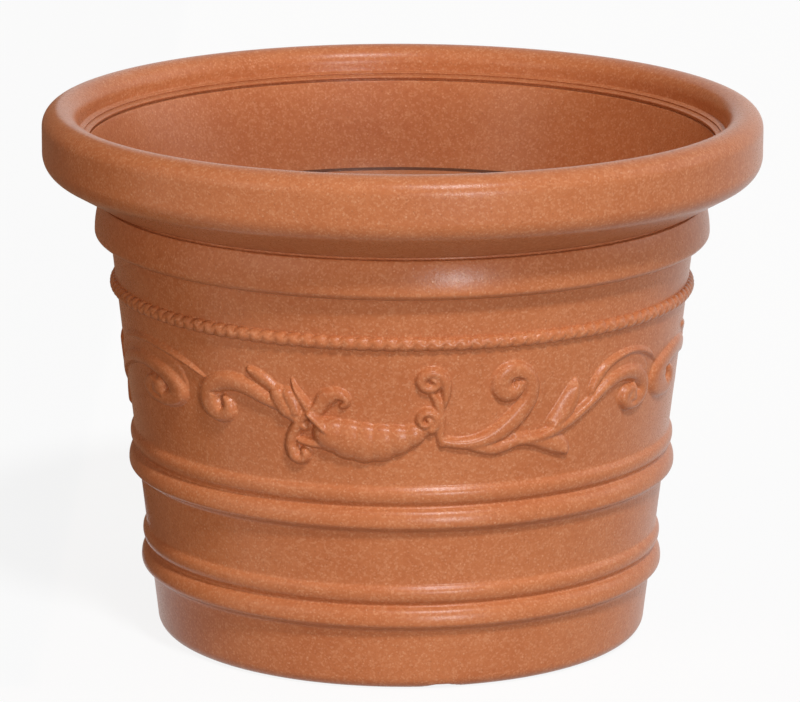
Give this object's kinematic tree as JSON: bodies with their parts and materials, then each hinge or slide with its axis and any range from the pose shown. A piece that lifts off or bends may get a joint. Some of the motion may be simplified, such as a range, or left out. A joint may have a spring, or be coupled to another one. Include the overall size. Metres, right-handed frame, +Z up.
{
  "type": "planter",
  "caption": "Round flower pot with a thick rolled rim, rope band, scroll garlands and double rings, with a lift-out false bottom and a drain plug.",
  "frame": {"origin": "centre of the pot's foot ring, on the surface that the pot stands on", "axes": "+Z up along the pot's axis, -Y towards the front garland"},
  "size_m": [0.5999, 0.6, 0.445],
  "materials": {
    "terracotta_plastic": "satin, finely speckled",
    "terracotta_plate": "satin, finely speckled",
    "plug_rubber": "matt"
  },
  "bodies": {
    "pot": {"pot_shell": "terracotta_plastic", "rope_band": "terracotta_plastic", "garland_front": "terracotta_plastic", "garland_right": "terracotta_plastic", "garland_left": "terracotta_plastic"},
    "false_bottom": {"false_bottom": "terracotta_plate"},
    "drain_plug": {"drain_plug": "plug_rubber"}
  },
  "joints": [
    {"name": "false_bottom_lift", "type": "slide", "parent": "pot", "child": "false_bottom", "axis": [0, 0, 1], "range_m": [0, 0.25]},
    {"name": "drain_plug_lift", "type": "slide", "parent": "pot", "child": "drain_plug", "axis": [0, 0, 1], "range_m": [0, 0.12]}
  ]
}
